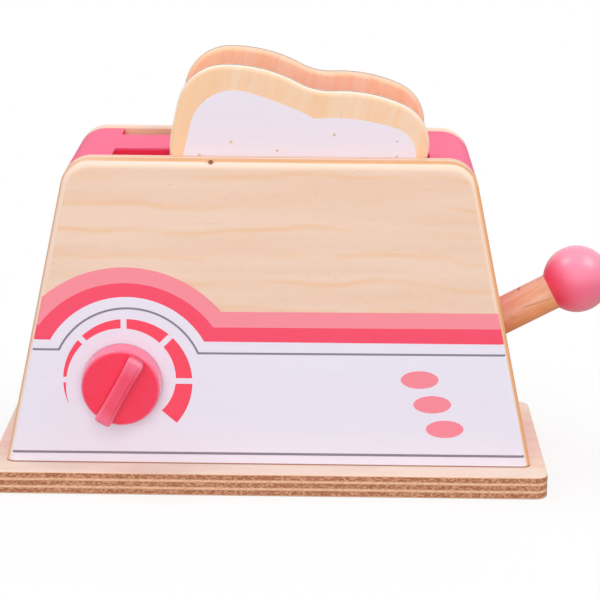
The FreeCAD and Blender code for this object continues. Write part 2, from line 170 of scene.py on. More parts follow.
# --------------------------------------------------- lever
ROD_ANGLE = math.radians(28.3)
ROD_WAY = (math.cos(ROD_ANGLE), 0, math.sin(ROD_ANGLE))
BALL_REACH = 69.8
PIVOT = (60.0, 0.0, 43.1)
STREAK_MIDDLE = 52.0
STREAK_SLOPE = -0.157
STREAK_HEIGHT = 0.37
SMUDGE_PLACE = (95.6, -7.0, 61.9)
MARK_PLACE = (98.6, -1.0, 72.0)

# --------------------------------------------------- stage
FLOOR_HALF = 3000.0
FLOOR_Z = -0.1
FLOOR_GLOW = 0.8
FLOOR_FADE = (135.0, 270.0)
WORLD_STRENGTH = 0.36
LIGHT_AIM = (0.0, 0.0, 0.07)


def srgb(red, green, blue):
    """A colour written as an 8-bit screen colour, for a shader's socket."""
    linear = []
    for value in (red, green, blue):
        share = value / 255
        linear.append(share / 12.92 if share <= 0.04045 else ((share + 0.055) / 1.055) ** 2.4)
    return (*linear, 1.0)


# ----------------------------------------------- materials
class Finish:
    """A material made of nodes.  Most methods add a node and return its output."""

    def __init__(self, name, roughness):
        self.material = bpy.data.materials.new(name)
        self.material.use_nodes = True
        self.tree = self.material.node_tree
        self.shader = self.tree.nodes["Principled BSDF"]
        self.shader.inputs["Roughness"].default_value = roughness
        place = self.tree.nodes.new("ShaderNodeTexCoord").outputs["Object"]
        self.place = self.vector("MULTIPLY", place, (1 / MM,) * 3)

    def feed(self, socket, value):
        """Links a node's output to a socket, or sets a plain value on it."""
        if isinstance(value, bpy.types.NodeSocket):
            self.tree.links.new(value, socket)
        else:
            socket.default_value = value

    def math(self, operation, *values):
        node = self.tree.nodes.new("ShaderNodeMath")
        node.operation = operation
        for socket, value in zip(node.inputs, values):
            self.feed(socket, value)
        return node.outputs[0]

    def vector(self, operation, *values):
        node = self.tree.nodes.new("ShaderNodeVectorMath")
        node.operation = operation
        for socket, value in zip(node.inputs, values):
            self.feed(socket, value)
        name = "Value" if operation in ("DOT_PRODUCT", "DISTANCE") else "Vector"
        return node.outputs[name]

    def mix(self, share, first, second):
        node = self.tree.nodes.new("ShaderNodeMix")
        node.data_type = "RGBA"
        self.feed(node.inputs["Factor"], share)
        self.feed(node.inputs["A"], first)
        self.feed(node.inputs["B"], second)
        return node.outputs["Result"]

    def noise(self, where, detail, distortion=0.0):
        node = self.tree.nodes.new("ShaderNodeTexNoise")
        node.inputs["Scale"].default_value = 1.0
        node.inputs["Detail"].default_value = detail
        node.inputs["Distortion"].default_value = distortion
        self.feed(node.inputs["Vector"], where)
        return node.outputs["Fac"]

    def between(self, value, low, high):
        """0 at low, 1 at high and a soft step from one to the other."""
        node = self.tree.nodes.new("ShaderNodeMapRange")
        node.interpolation_type = "SMOOTHSTEP"
        self.feed(node.inputs["Value"], value)
        node.inputs["From Min"].default_value = min(low, high)
        node.inputs["From Max"].default_value = max(low, high)
        node.inputs["To Min"].default_value = float(low > high)
        node.inputs["To Max"].default_value = float(low < high)
        return node.outputs["Result"]

    def tint(self, colour, share, strength, other):
        """A colour moved towards another by a share of a strength."""
        return self.mix(self.math("MULTIPLY", share, strength), colour, other)

    def scaled(self, factors):
        """The place, multiplied along each axis."""
        return self.vector("MULTIPLY", self.place, factors)

    def measure(self, origin, direction):
        """The distance from a point along a direction, in millimetres."""
        way = Vector(direction).normalized()
        along = self.vector("DOT_PRODUCT", self.place, tuple(way))
        return self.math("SUBTRACT", along, way.dot(Vector(origin)))

    def magnitude(self, value):
        return self.math("ABSOLUTE", value)

    def both(self, first, second):
        """1 where both shares are 1."""
        return self.math("MULTIPLY", first, second)

    def axis(self, index):
        """One coordinate of the place, in millimetres."""
        node = self.tree.nodes.new("ShaderNodeSeparateXYZ")
        self.feed(node.inputs[0], self.place)
        return node.outputs[index]

    def spot(self, place, halves, edge):
        """1 in an oval spot about a point, fading to 0 over its outer share."""
        offset = self.vector("SUBTRACT", self.place, place)
        inside = self.vector("MULTIPLY", offset, tuple(1 / half for half in halves))
        return self.between(self.vector("DISTANCE", inside, (0, 0, 0)), 1.0, 1.0 - edge)

    def bump(self, height, depth):
        """Raises the surface by up to depth millimetres where height is 1."""
        node = self.tree.nodes.new("ShaderNodeBump")
        node.inputs["Distance"].default_value = depth * MM
        self.feed(node.inputs["Height"], height)
        self.feed(self.shader.inputs["Normal"], node.outputs["Normal"])

    def colour(self, value):
        self.feed(self.shader.inputs["Base Color"], value)

    def coat(self, weight, roughness):
        self.shader.inputs["Coat Weight"].default_value = weight
        self.shader.inputs["Coat Roughness"].default_value = roughness

    def dress(self, *objects):
        for thing in objects:
            thing.data.materials.clear()
            thing.data.materials.append(self.material)


def along_grain(finish, direction, lengths):
    """The place measured along and across the grain, in units of the given lengths."""
    along = Vector(direction).normalized()
    across = along.orthogonal().normalized()
    third = along.cross(across)
    node = finish.tree.nodes.new("ShaderNodeCombineXYZ")
    for socket, way, length in zip(node.inputs, (along, across, third), lengths):
        finish.feed(socket, finish.vector("DOT_PRODUCT", finish.place, tuple(way / length)))
    return node.outputs[0]


def wood_colour(finish, direction, pale, deep, mark, figure, fibres=0.3):
    """Sanded wood: broad soft figure, fine fibres and a few short dark pores."""
    broad = finish.noise(along_grain(finish, direction, figure), 3.0, 0.6)
    colour = finish.mix(finish.between(broad, 0.35, 0.68), pale, deep)
    fibre = finish.noise(along_grain(finish, direction, (22.0, 0.7, 0.7)), 3.0)
    colour = finish.tint(colour, finish.between(fibre, 0.45, 0.8), fibres, deep)
    pores = finish.noise(along_grain(finish, direction, (4.0, 0.35, 0.35)), 1.0)
    colour = finish.tint(colour, finish.between(pores, 0.64, 0.78), 0.4, mark)
    finish.bump(fibre, 0.02)
    return colour


def growth_lines(finish, direction, lengths, count, width):
    """Thin lines that wander along the grain, as the year rings do on a veneer."""
    field = finish.noise(along_grain(finish, direction, lengths), 1.0, 0.3)
    phase = finish.math("FRACT", finish.math("MULTIPLY", field, count))
    near = finish.magnitude(finish.math("SUBTRACT", phase, 0.5))
    return finish.between(near, width, width / 3)


def growth_bands(finish):
    """Soft level bands that sway a little, as the year rings of a rotary-cut veneer do."""
    drift = finish.noise(finish.scaled(tuple(1 / length for length in BAND_WAVE)), 2.0)
    offset = finish.math("MULTIPLY_ADD", drift, 4 * BAND_SWAY, finish.axis(2))
    height = finish.math("SUBTRACT", offset, 2 * BAND_SWAY + BAND_START)
    phase = finish.math("FRACT", finish.math("DIVIDE", height, BAND_SPACING))
    near = finish.magnitude(finish.math("SUBTRACT", phase, 0.5))
    return finish.between(near, BAND_HALF_WIDTH / BAND_SPACING, 0.0)


def ply_stripes(finish, depth, thickness, stripes):
    """A colour for every ply, from (depth, colour) pairs in order of depth."""
    node = finish.tree.nodes.new("ShaderNodeValToRGB")
    ramp = node.color_ramp
    places = []
    for index, (low, shade) in enumerate(stripes):
        high = stripes[index + 1][0] if index + 1 < len(stripes) else thickness
        blur = min(0.2, (high - low) / 4)
        places += [(low + blur, shade), (high - blur, shade)]
    first, last = ramp.elements
    first.position, first.color = places[0][0] / thickness, places[0][1]
    last.position, last.color = places[-1][0] / thickness, places[-1][1]
    for place, shade in places[1:-1]:
        element = ramp.elements.new(place / thickness)
        element.color = shade
    finish.feed(node.inputs[0], finish.math("DIVIDE", depth, thickness))
    return node.outputs["Color"]


def even_plies(thickness, end_plies, end, long):
    """Stripes for alternate plies of end grain and long grain between two face veneers."""
    thin = (thickness - 2 * FACE_VENEER) / (end_plies * END_TO_LONG_PLY + end_plies - 1)
    stripes, place = [(0.0, long)], FACE_VENEER
    for _ in range(end_plies):
        stripes.append((place, end))
        place += thin * END_TO_LONG_PLY
        stripes.append((place, long))
        place += thin
    stripes[-1] = (thickness - FACE_VENEER, long)
    return stripes


def plywood(finish, depth, thickness, face, stripes, mottle, speck, veneer=0.15):
    """Plywood: a face veneer in front and behind, and the plies at the edges."""
    wander = finish.noise(finish.scaled((0.05, 0.05, 0.05)), 2.0)
    wavy = finish.math("ADD", depth, finish.math("MULTIPLY_ADD", wander, 0.4, -0.2))
    plies = ply_stripes(finish, wavy, thickness, stripes)
    fleck = finish.noise(finish.scaled((0.9, 0.9, 1.6)), 5.0)
    plies = finish.tint(plies, finish.between(fleck, 0.42, 0.64), speck, mottle)
    near = finish.math("MINIMUM", depth, finish.math("SUBTRACT", thickness, depth))
    return finish.mix(finish.between(near, veneer * 0.2, veneer * 1.8), face, plies)


def inside_of(finish, outer):
    """The depth under a face at y = outer or y = -outer, for a pair of boards."""
    return finish.math("SUBTRACT", outer, finish.magnitude(finish.axis(1)))


def make_base_ply():
    """The base's plywood, with dark end-grain plies at its edge."""
    finish = Finish("base_plywood", 0.5)
    depth = finish.math("SUBTRACT", BASE_THICKNESS, finish.axis(2))
    face = wood_colour(
        finish, LEVEL, srgb(247, 226, 210), srgb(243, 215, 195), srgb(222, 184, 158),
        figure=(60.0, 7.0, 7.0))
    stripes = even_plies(BASE_THICKNESS, 3, srgb(170, 106, 74), srgb(248, 200, 166))
    finish.colour(plywood(
        finish, depth, BASE_THICKNESS, face, stripes, mottle=srgb(226, 170, 132), speck=0.85))
    return finish


def panel_veneer(finish):
    """The panels' level grain with its broken bands."""
    veneer = wood_colour(
        finish, LEVEL, srgb(247, 215, 194), srgb(243, 207, 182), srgb(218, 170, 134),
        figure=(120.0, 9.0, 9.0), fibres=0.35)
    patchy = finish.noise(along_grain(finish, LEVEL, (50.0, 12.0, 12.0)), 2.0)
    bands = finish.both(growth_bands(finish), finish.between(patchy, 0.34, 0.62))
    return finish.tint(veneer, bands, 0.62, srgb(245, 196, 150))


def make_panel_ply(name, stripes):
    """A panel's plywood and its knot.

    Painted highlight makes the rounded edge pale towards the left, painted shade deepens the
    orange plies of its rounded right side, a painted contact shadow darkens its foot and
    painted bounce light warms its inner face inside the slot.
    """
    finish = Finish(name, 0.42)
    depth = inside_of(finish, PANEL_FACE)
    across, height = finish.axis(0), finish.axis(2)
    colour = plywood(
        finish, depth, PANEL_THICKNESS, panel_veneer(finish), stripes,
        mottle=srgb(232, 176, 130), speck=0.1)
    # Painted highlight: the rounded front edge is paler towards the left, where the light falls.
    rounded = finish.both(finish.between(depth, 0.2, 0.7), finish.between(depth, 1.5, 0.9))
    left_highlight_share = finish.between(across, 90.0, -60.0)
    colour = finish.tint(colour, finish.both(rounded, left_highlight_share), 0.55, srgb(255, 222, 216))
    # Painted highlight: the plies of the top edge are paler at the left end.
    paler = finish.both(finish.between(depth, 0.7, 1.2), finish.between(across, -40.0, -80.0))
    colour = finish.tint(colour, paler, 0.4, srgb(252, 212, 182))
    # The plies on the rounded right edge: their orange is partly their own and partly painted shade
    # on the side turned from the light.
    right = finish.measure(
        (PANEL_HALF_FOOT, 0, PANEL_FOOT), (math.cos(SIDE_SLOPE), 0, math.sin(SIDE_SLOPE)))
    colour = finish.tint(colour, finish.between(right, -1.9, -0.9), 0.9, srgb(248, 180, 122))
    halo = finish.spot(KNOT_PLACE, (3.4, 1.6, 1.6), 0.8)
    colour = finish.tint(colour, halo, 0.5, srgb(220, 150, 92))
    knot = finish.spot(KNOT_PLACE, (1.2, 1.8, 1.1), 0.4)
    colour = finish.tint(colour, knot, 0.9, srgb(104, 50, 24))
    # Painted contact shadow: a thin dark line along the panel's foot.
    contact_shadow = finish.between(height, PANEL_FOOT + 0.65, PANEL_FOOT + 0.4)
    colour = finish.tint(colour, contact_shadow, 0.85, srgb(150, 96, 70))
    # Painted bounce light: the pink walls' warm light on the panel's inner face inside the slot.
    slot_bounce_light = finish.both(
        finish.between(depth, PANEL_THICKNESS - 0.1, PANEL_THICKNESS - 0.01),
        finish.between(height, PANEL_SLOT_Z, PANEL_SLOT_Z + 1.0))
    finish.colour(finish.tint(colour, slot_bounce_light, 0.8, srgb(255, 206, 172)))
    return finish


def panel_stripes():
    """The plies along the top edges of the front panel and of the paler back panel."""
    # The front's first stripe is the face ply over the rounded edge. It is partly its own pale
    # colour and partly a painted highlight.
    front = [
        (0.0, srgb(252, 222, 200)), (1.3, srgb(224, 170, 122)), (4.6, srgb(250, 216, 190)),
        (6.6, srgb(206, 150, 112)), (7.6, srgb(254, 220, 200)),
    ]
    back = [
        (0.0, srgb(252, 220, 202)), (5.0, srgb(248, 206, 180)), (7.2, srgb(234, 182, 154)),
        (8.0, srgb(252, 214, 196)),
    ]
    return front, back


def make_slice_ply(name, pale, deep, warm):
    """A slice's plywood: leaning grain with fine lines, warmer towards its left side."""
    grain = (math.sin(SLICE_TILT), 0, math.cos(SLICE_TILT))
    finish = Finish(name, 0.45)
    face = wood_colour(finish, grain, pale, deep, srgb(214, 150, 105), figure=(110.0, 8.0, 8.0))
    lines = growth_lines(finish, grain, (220.0, 16.0, 16.0), count=6.0, width=0.12)
    face = finish.tint(face, lines, 0.45, warm)
    left = finish.measure(
        (SLICE_FOOT[0], 0, SLICE_FOOT[1]), (-math.cos(SLICE_TILT), 0, math.sin(SLICE_TILT)))
    face = finish.tint(face, finish.between(left, 30.0, 46.0), 0.45, warm)
    stripes = [(0.0, srgb(255, 236, 220)), (2.2, srgb(150, 116, 98)), (3.8, srgb(240, 206, 180))]
    finish.colour(plywood(
        finish, inside_of(finish, SLICE_FACE), SLICE_THICKNESS, face, stripes,
        mottle=srgb(232, 190, 160), speck=0.15, veneer=0.7))
    return finish


def make_bare_ply(name, outer, thickness, end_plies):
    """Bare birch plywood, for the hidden parts."""
    finish = Finish(name, 0.6)
    face = wood_colour(
        finish, LEVEL, srgb(232, 200, 164), srgb(222, 184, 142), srgb(180, 134, 96),
        figure=(60.0, 7.0, 7.0))
    stripes = even_plies(thickness, end_plies, srgb(186, 134, 96), srgb(232, 194, 154))
    finish.colour(plywood(
        finish, inside_of(finish, outer), thickness, face, stripes,
        mottle=srgb(204, 152, 112), speck=0.5))
    return finish


def make_beech(name, direction):
    """Bare sanded beech, for the hidden dowels."""
    finish = Finish(name, 0.55)
    finish.colour(wood_colour(
        finish, direction, srgb(240, 178, 142), srgb(226, 148, 104), srgb(168, 92, 56),
        figure=(45.0, 3.2, 3.2)))
    return finish


def make_rod_beech():
    """The lever's rod: streaked, with a dark streak and two marks.

    It is more orange underneath, which is painted shade and warm bounce light.
    """
    finish = Finish("rod_beech", 0.5)
    colour = wood_colour(
        finish, ROD_WAY, srgb(238, 194, 166), srgb(228, 168, 130), srgb(190, 120, 84),
        figure=(24.0, 3.0, 3.0), fibres=0.5)
    along = finish.measure(PIVOT, ROD_WAY)
    across = finish.measure(PIVOT, (-math.sin(ROD_ANGLE), 0, math.cos(ROD_ANGLE)))
    # Painted shade and warm bounce light: the rod is more orange underneath.
    colour = finish.tint(colour, finish.between(across, 2.5, -4.0), 0.75, srgb(238, 158, 88))
    from_middle = finish.math("SUBTRACT", along, STREAK_MIDDLE)
    drift = finish.math("MULTIPLY_ADD", from_middle, STREAK_SLOPE, STREAK_HEIGHT)
    off = finish.magnitude(finish.math("SUBTRACT", across, drift))
    reach = finish.magnitude(from_middle)
    streak = finish.both(finish.between(off, 0.45, 0.1), finish.between(reach, 6.6, 4.5))
    front = finish.between(finish.axis(1), -3.0, -5.0)
    colour = finish.tint(colour, finish.both(streak, front), 0.45, srgb(170, 92, 52))
    smudge = finish.spot(SMUDGE_PLACE, (2.6, 3.0, 1.6), 0.9)
    colour = finish.tint(colour, smudge, 0.3, srgb(190, 112, 70))
    mark = finish.spot(MARK_PLACE, (0.9, 2.6, 1.2), 0.8)
    colour = finish.tint(colour, mark, 0.6, srgb(150, 72, 42))
    cloud = finish.noise(along_grain(finish, ROD_WAY, (9.0, 3.0, 3.0)), 3.0, 0.8)
    patch = finish.both(finish.between(cloud, 0.42, 0.62), finish.between(across, 3.5, -1.0))
    finish.colour(finish.tint(colour, patch, 0.4, srgb(226, 142, 80)))
    return finish


def make_paint(name, base, deep, roughness):
    """Brushed-on paint and its colour: uneven cover and a shallow orange-peel texture."""
    finish = Finish(name, roughness)
    cloud = finish.noise(finish.scaled((0.03, 0.03, 0.03)), 3.0)
    finish.bump(finish.noise(finish.scaled((1.2, 1.2, 1.2)), 2.0), 0.008)
    return finish, finish.mix(finish.between(cloud, 0.3, 0.7), base, deep)


def make_wall_paint():
    """The side walls' pink paint."""
    finish, colour = make_paint("wall_paint", srgb(249, 114, 150), srgb(248, 108, 145), 0.62)
    finish.colour(colour)
    return finish


def make_top_paint():
    """The walls' paint, with painted shade and bounce light making it a deeper red inside the
    slots.
    """
    finish, colour = make_paint("top_paint", srgb(248, 105, 143), srgb(247, 99, 138), 0.62)
    # Painted shade and bounce light: the slots' inner walls are a deeper red.
    low = finish.between(finish.axis(2), SLOT_TOP_Z, SLOT_TOP_Z - 0.8)
    middle = finish.between(
        finish.magnitude(finish.axis(0)), SLOT_HALF_LENGTH, SLOT_HALF_LENGTH - 1.0)
    finish.colour(finish.mix(finish.both(low, middle), colour, srgb(255, 44, 84)))
    return finish


def make_ball_paint():
    """The ball's glossy paint, with painted light on it.

    A painted highlight makes it pale on top, painted shade and reflection make it deep red by
    the rod, and painted bounce light makes it brighter underneath.
    """
    finish, colour = make_paint("ball_paint", srgb(248, 112, 142), srgb(246, 106, 136), 0.38)
    middle = tuple(start + BALL_REACH * way for start, way in zip(PIVOT, ROD_WAY))
    # Painted highlight: the top of the ball is paler.
    pale = finish.between(finish.measure(middle, (0.15, -0.1, 1.0)), -1.0, 13.0)
    colour = finish.tint(colour, pale, 0.66, srgb(251, 166, 194))
    # Painted shade and reflection of the toy: the ball is deep red towards the rod.
    deep = finish.between(finish.measure(middle, (-0.8, -0.1, -0.55)), 1.0, 12.0)
    colour = finish.tint(colour, deep, 0.85, srgb(232, 62, 84))
    # Painted bounce light: the underside is brighter.
    low = finish.between(finish.measure(middle, (0.4, -0.1, -0.9)), 3.0, 13.0)
    finish.colour(finish.tint(colour, low, 0.8, srgb(255, 140, 156)))
    finish.coat(0.45, 0.22)
    return finish


def make_ink(name, base):
    """Ink printed on the lacquered veneer: a little of the wood's fibre comes through."""
    finish = Finish(name, 0.42)
    fibre = finish.noise(along_grain(finish, LEVEL, (30.0, 1.2, 1.2)), 2.0)
    shade = tuple(0.985 * value for value in base[:3]) + (1.0,)
    finish.colour(finish.mix(finish.between(fibre, 0.4, 0.75), base, shade))
    finish.bump(fibre, 0.002)
    return finish


def make_plastic(name, base, deep):
    """Glossy moulded plastic and its colour, with the faint flow marks of the mould."""
    finish = Finish(name, 0.22)
    flow = finish.noise(finish.scaled((0.12, 0.12, 0.12)), 2.0, 1.0)
    finish.bump(flow, 0.01)
    finish.coat(0.5, 0.12)
    finish.shader.inputs["Subsurface Weight"].default_value = 0.15
    finish.shader.inputs["Subsurface Scale"].default_value = 1.5 * MM
    return finish, finish.mix(finish.between(flow, 0.3, 0.7), base, deep)


def make_knob_plastic():
    """The cup is red in front; a painted reflection makes it paler round its thin wall."""
    finish, colour = make_plastic("knob_plastic", srgb(252, 54, 92), srgb(250, 48, 84))
    offset = finish.vector("SUBTRACT", finish.place, DIAL_PLACE)
    flat = finish.vector("MULTIPLY", offset, (1.0, 0.0, 1.0))
    radius = finish.vector("DISTANCE", flat, (0, 0, 0))
    # Painted reflection: the wall round the rim is paler, like gloss catching the white
    # surroundings.
    rim = finish.between(radius, DIAL_RADIUS - DIAL_DRAFT - 1.2, DIAL_RADIUS - DIAL_DRAFT - 0.1)
    finish.colour(finish.mix(rim, colour, srgb(253, 118, 152)))
    return finish


def make_grip_plastic():
    """The grip bar's plastic, paler than the cup's, with painted highlights towards its ends."""
    finish, colour = make_plastic("grip_plastic", srgb(252, 84, 116), srgb(250, 72, 106))
    middle = (DIAL_PLACE[0], DIAL_PLACE[1] - DIAL_DEPTH, DIAL_PLACE[2])
    # Painted highlights: the grip is paler towards both ends.
    ends = finish.between(finish.vector("DISTANCE", finish.place, middle), 9.0, 15.5)
    finish.colour(finish.tint(colour, ends, 0.45, srgb(255, 150, 180)))
    return finish


def make_steel():
    """Zinc-plated steel with a fine brushed grain."""
    finish = Finish("zinc_steel", 0.32)
    brushed = finish.noise(finish.scaled((4.0, 4.0, 0.6)), 3.0)
    finish.colour(finish.mix(brushed, srgb(176, 178, 184), srgb(214, 214, 218)))
    finish.bump(brushed, 0.01)
    finish.shader.inputs["Metallic"].default_value = 1.0
    return finish


# ------------------------------------------- mesh building
def new_object(name, data):
    """An object in the scene, for a mesh, a light or a camera."""
    thing = bpy.data.objects.new(name, data)
    bpy.context.scene.collection.objects.link(thing)
    return thing


def mesh_object(name, vertices, faces, flat=()):
    """A mesh from points in millimetres; all faces are smooth but the ones listed."""
    mesh = bpy.data.meshes.new(name)
    mesh.from_pydata([Vector(v) * MM for v in vertices], [], faces)
    build = bmesh.new()
    build.from_mesh(mesh)
    bmesh.ops.recalc_face_normals(build, faces=build.faces)
    build.to_mesh(mesh)
    build.free()
    for polygon in mesh.polygons:
        polygon.use_smooth = polygon.index not in flat
    return new_object(name, mesh)


def plates(name, outlines, y_back, y_front):
    """Thin closed plates in one object, from outlines of (x, z) points."""
    vertices, faces = [], []
    for outline in outlines:
        start, count = len(vertices), len(outline)
        vertices += [(x, y_back, z) for x, z in outline]
        vertices += [(x, y_front, z) for x, z in outline]
        back = list(range(start, start + count))
        front = [index + count for index in back]
        faces += [back, front]
        for index in range(count):
            after = (index + 1) % count
            faces.append([back[index], back[after], front[after], front[index]])
    return mesh_object(name, vertices, faces, range(len(faces)))


def rings(outline, rounding, steps):
    """(points, depth) of the rings of a plate's rounded edge, from its face to its side."""
    count = len(outline)
    normals = []
    for index in range(count):
        before, after = outline[index - 1], outline[(index + 1) % count]
        normals.append(Vector((before[1] - after[1], after[0] - before[0])).normalized())
    result = []
    for step in range(steps + 1):
        turn = math.pi / 2 * step / steps
        inset = rounding * (1 - math.sin(turn))
        points = [(x + normal.x * inset, z + normal.y * inset)
                  for (x, z), normal in zip(outline, normals)]
        result.append((points, rounding * (1 - math.cos(turn))))
    return result


def rounded_plate(name, outline, y_front, y_back, rounding, round_back):
    """A plate from an anticlockwise outline, rounded in front and, if asked, behind."""
    edge = rings(outline, rounding, 8)
    layers = [(points, y_front + depth) for points, depth in edge]
    if round_back:
        layers += [(points, y_back - depth) for points, depth in edge[::-1]]
    else:
        layers.append((outline, y_back))
    count = len(outline)
    vertices, faces = [], [list(range(count))]
    for points, y in layers:
        vertices += [(x, y, z) for x, z in points]
    for layer in range(len(layers) - 1):
        low, high = layer * count, (layer + 1) * count
        for index in range(count):
            after = (index + 1) % count
            faces.append([low + index, low + after, high + after, high + index])
    faces.append(list(range(high, high + count)))
    return mesh_object(name, vertices, faces, (0, len(faces) - 1))


def arc_point(centre, radius, degrees):
    """The point of a circle at an angle."""
    angle = math.radians(degrees)
    return (centre[0] + radius * math.cos(angle), centre[1] + radius * math.sin(angle))


def arc_points(centre, radius, start, end, count):
    """Points on an arc between two angles, both ends included."""
    return [arc_point(centre, radius, start + (end - start) * index / count)
            for index in range(count + 1)]


# -------------------------------------------------- prints
def clip(points, keep):
    """The part of an outline where keep((x, z)) is at least 0; keep is linear."""
    kept = []
    for here, after in zip(points, points[1:] + points[:1]):
        value_here, value_after = keep(here), keep(after)
        if value_here >= 0:
            kept.append(here)
        if value_here * value_after < 0:
            share = value_here / (value_here - value_after)
            kept.append(tuple(a + (b - a) * share for a, b in zip(here, after)))
    return kept


def side_inset(x, z):
    """How far a point lies inside the nearer one of the panel's sloping sides."""
    out, up = PANEL_HALF_FOOT - abs(x), z - PANEL_FOOT
    return out * math.cos(SIDE_SLOPE) - up * math.sin(SIDE_SLOPE)


def within_panel(points, margin):
    """Cuts an outline a margin in from the panel's sloping sides."""
    room = PANEL_HALF_FOOT * math.cos(SIDE_SLOPE) - margin
    for side in (-1, 1):
        points = clip(points, lambda p, side=side: (
            room - side * p[0] * math.cos(SIDE_SLOPE) - (p[1] - PANEL_FOOT) * math.sin(SIDE_SLOPE)))
    return points


def round_foot(points, margin):
    """Rounds the two lower corners of a printed field."""
    z = PRINT_FOOT + PRINT_FOOT_ROUNDING
    inset = margin + PRINT_FOOT_ROUNDING + (z - PANEL_FOOT) * math.sin(SIDE_SLOPE)
    x = PANEL_HALF_FOOT - inset / math.cos(SIDE_SLOPE)
    for side in (-1, 1):
        for degrees in range(0, 90, 10):
            way = (side * math.cos(math.radians(degrees)), -math.sin(math.radians(degrees)))
            reach = side * x * way[0] + z * way[1] + PRINT_FOOT_ROUNDING
            points = clip(points, lambda p, way=way, reach=reach: (
                reach - p[0] * way[0] - p[1] * way[1]))
    return points


def arch_edge(arch, inset=0.0):
    """A band's edge from far left to far right over the dial, moved down by an inset."""
    x, z, radius = arch[0], arch[1], arch[2] - inset
    left, right, end = [height - inset for height in arch[3:]]
    rise_left = math.degrees(math.asin((left - z) / radius))
    rise_right = math.degrees(math.asin((right - z) / radius))
    over = arc_points((x, z), radius, 180 - rise_left, rise_right, ARCH_STEPS)
    return [(-PRINT_FAR_X, left)] + over + [(PRINT_FAR_X, end)]


def band(upper, lower, margin=PRINT_MARGIN):
    """The field between two edges, cut to the panel's sides."""
    return within_panel(upper + lower[::-1], margin)


def straight_edge(left, right):
    return [(-PRINT_FAR_X, left), (PRINT_FAR_X, right)]


def face_depth(x, z):
    """How far the panel's rounded edge has curved back at a point of its outline."""
    short = max(0.0, PANEL_ROUNDING - side_inset(x, z))
    return PANEL_ROUNDING - math.sqrt(PANEL_ROUNDING ** 2 - short ** 2)


def wrapped_print(name, outlines, front_y, layer):
    """Thin closed skins that lie on the panel's face and on its rounded side edges."""
    build = bmesh.new()
    for outline in outlines:
        build.faces.new([build.verts.new((x, 0.0, z)) for x, z in outline])
    for side in (-1, 1):
        way = Vector((side * math.cos(SIDE_SLOPE), 0.0, math.sin(SIDE_SLOPE)))
        corner = Vector((side * PANEL_HALF_FOOT, 0.0, PANEL_FOOT))
        for degrees in (0, 8, 16, 24):
            inset = PANEL_ROUNDING * (1 - math.sin(math.radians(degrees)))
            everything = build.verts[:] + build.edges[:] + build.faces[:]
            bmesh.ops.bisect_plane(
                build, geom=everything, plane_co=corner - way * inset, plane_no=way)
    outer_edges = [edge for edge in build.edges if edge.is_boundary]
    everything = build.verts[:] + build.edges[:] + build.faces[:]
    copy_of = bmesh.ops.duplicate(build, geom=everything)["vert_map"]
    for edge in outer_edges:
        a, b = edge.verts
        build.faces.new((a, b, copy_of[b], copy_of[a]))
    raised = {copy_of[part] for part in everything if isinstance(part, bmesh.types.BMVert)}
    for vertex in build.verts:
        rise = layer * PRINT_RISE if vertex in raised else 0.0
        vertex.co.y = front_y + face_depth(vertex.co.x, vertex.co.z) - rise
        vertex.co *= MM
    bmesh.ops.recalc_face_normals(build, faces=build.faces)
    mesh = bpy.data.meshes.new(name)
    build.to_mesh(mesh)
    build.free()
    return new_object(name, mesh)


def scale_width(angle):
    """The width of the dial's scale, which swells from its tail to its head."""
    for (low, wide), (high, thin) in zip(SCALE_WIDTHS, SCALE_WIDTHS[1:]):
        if angle <= high:
            return wide + (thin - wide) * (angle - low) / (high - low)
    return 0.0


def scale_segment(start, end):
    """One segment of the dial's scale, its cut ends along the sides of two bars."""
    outer, inner = [], []
    spare, steps = 4.0, 16
    low, high = max(start - spare, SCALE_HEAD), min(end + spare, SCALE_TAIL)
    for index in range(steps + 1):
        angle = low + (high - low) * index / steps
        radius = SCALE_RADIUS - SCALE_SHRINK * max(0.0, angle - SCALE_SHRINK_FROM)
        outer.append(arc_point(SCALE_CENTRE, radius, angle))
        inner.append(arc_point(SCALE_CENTRE, radius - scale_width(angle), angle))
    if high == SCALE_TAIL:
        inner.pop()
    points = outer + inner[::-1]
    for angle, turn in ((start, 90.0), (end, -90.0)):
        if angle not in SCALE_BARS:
            continue
        way = math.radians(angle + turn)
        points = clip(points, lambda p, way=way: (
            (p[0] - SCALE_HUB[0]) * math.cos(way) + (p[1] - SCALE_HUB[1]) * math.sin(way)
            - SCALE_BAR_WIDTH / 2))
    return points


def dial_scale():
    """The outlines of the segments between the scale's bars."""
    marks = (SCALE_HEAD,) + SCALE_BARS + (SCALE_TAIL,)
    return [scale_segment(start, end) for start, end in zip(marks, marks[1:])]


def oval(centre):
    points = arc_points((0, 0), 1.0, 0, 360, 64)[:-1]
    return [(centre[0] + x * OVAL_HALF_WIDTH, centre[1] + z * OVAL_HALF_HEIGHT) for x, z in points]


